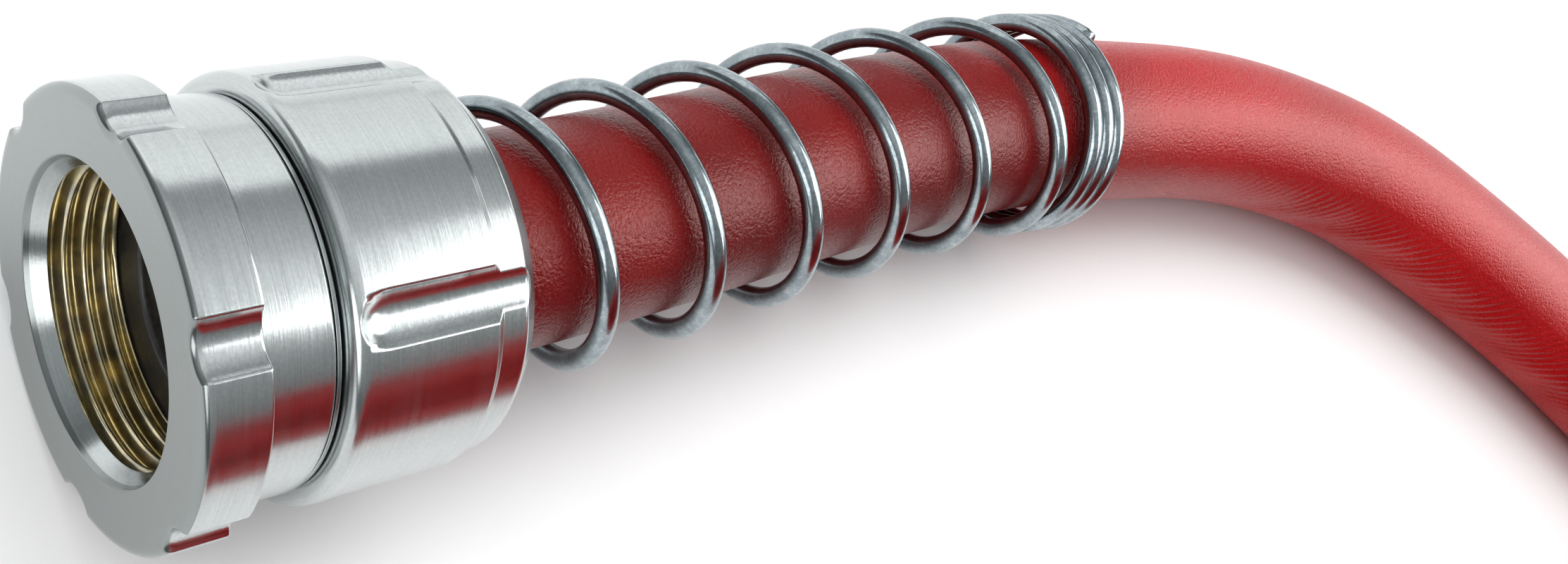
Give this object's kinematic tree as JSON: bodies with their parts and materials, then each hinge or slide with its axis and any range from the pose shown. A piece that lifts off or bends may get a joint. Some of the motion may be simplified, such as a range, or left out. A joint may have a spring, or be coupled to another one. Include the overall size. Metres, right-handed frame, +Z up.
{
  "type": "fire hose",
  "caption": "Red rubber booster fire hose wound in a round coil, with a slotted aluminium swivel coupling, a coil-spring bend guard and a threaded male end.",
  "frame": {"origin": "on the floor, under the middle of the female coupling and its guard spring", "axes": "+Z up; +X from the threaded socket's face along the hose; the hose bends towards -Y"},
  "size_m": [0.6174, 0.8188, 0.1905],
  "materials": {
    "machined_aluminium": "bright turned finish with fine circular tool marks",
    "galvanised_steel": "zinc-coated drawn wire, satin",
    "spring_wire": "drawn wire",
    "red_rubber": "smooth moulded cover, satin",
    "black_rubber": "moulded gasket",
    "black_webbing": "woven strap",
    "buckle_steel": "tumbled steel"
  },
  "bodies": {
    "hose": {"swivel_retaining_wire": "spring_wire", "female_stem": "machined_aluminium", "clamp_shell": "machined_aluminium", "clamp_jaw_1": "machined_aluminium", "clamp_jaw_2": "machined_aluminium", "clamp_jaw_3": "machined_aluminium", "guard_spring": "galvanised_steel", "hose_sleeve": "red_rubber", "hose_lead": "red_rubber", "hose_coil": "red_rubber", "male_stem": "machined_aluminium", "male_clamp_shell": "machined_aluminium", "male_clamp_jaw_1": "machined_aluminium", "male_clamp_jaw_2": "machined_aluminium", "male_clamp_jaw_3": "machined_aluminium", "male_guard_spring": "galvanised_steel", "male_hose_sleeve": "red_rubber", "hose_tail": "red_rubber", "strap_1": "black_webbing", "strap_buckle_1": "buckle_steel", "strap_2": "black_webbing", "strap_buckle_2": "buckle_steel", "strap_3": "black_webbing", "strap_buckle_3": "buckle_steel"},
    "swivel": {"swivel_nut": "machined_aluminium", "swivel_washer": "black_rubber"}
  },
  "joints": [
    {"name": "swivel_spin", "type": "hinge", "parent": "hose", "child": "swivel", "pos_m": [-0.1076, 0, 0.0352], "axis": [1, 0, 0], "continuous": true}
  ]
}
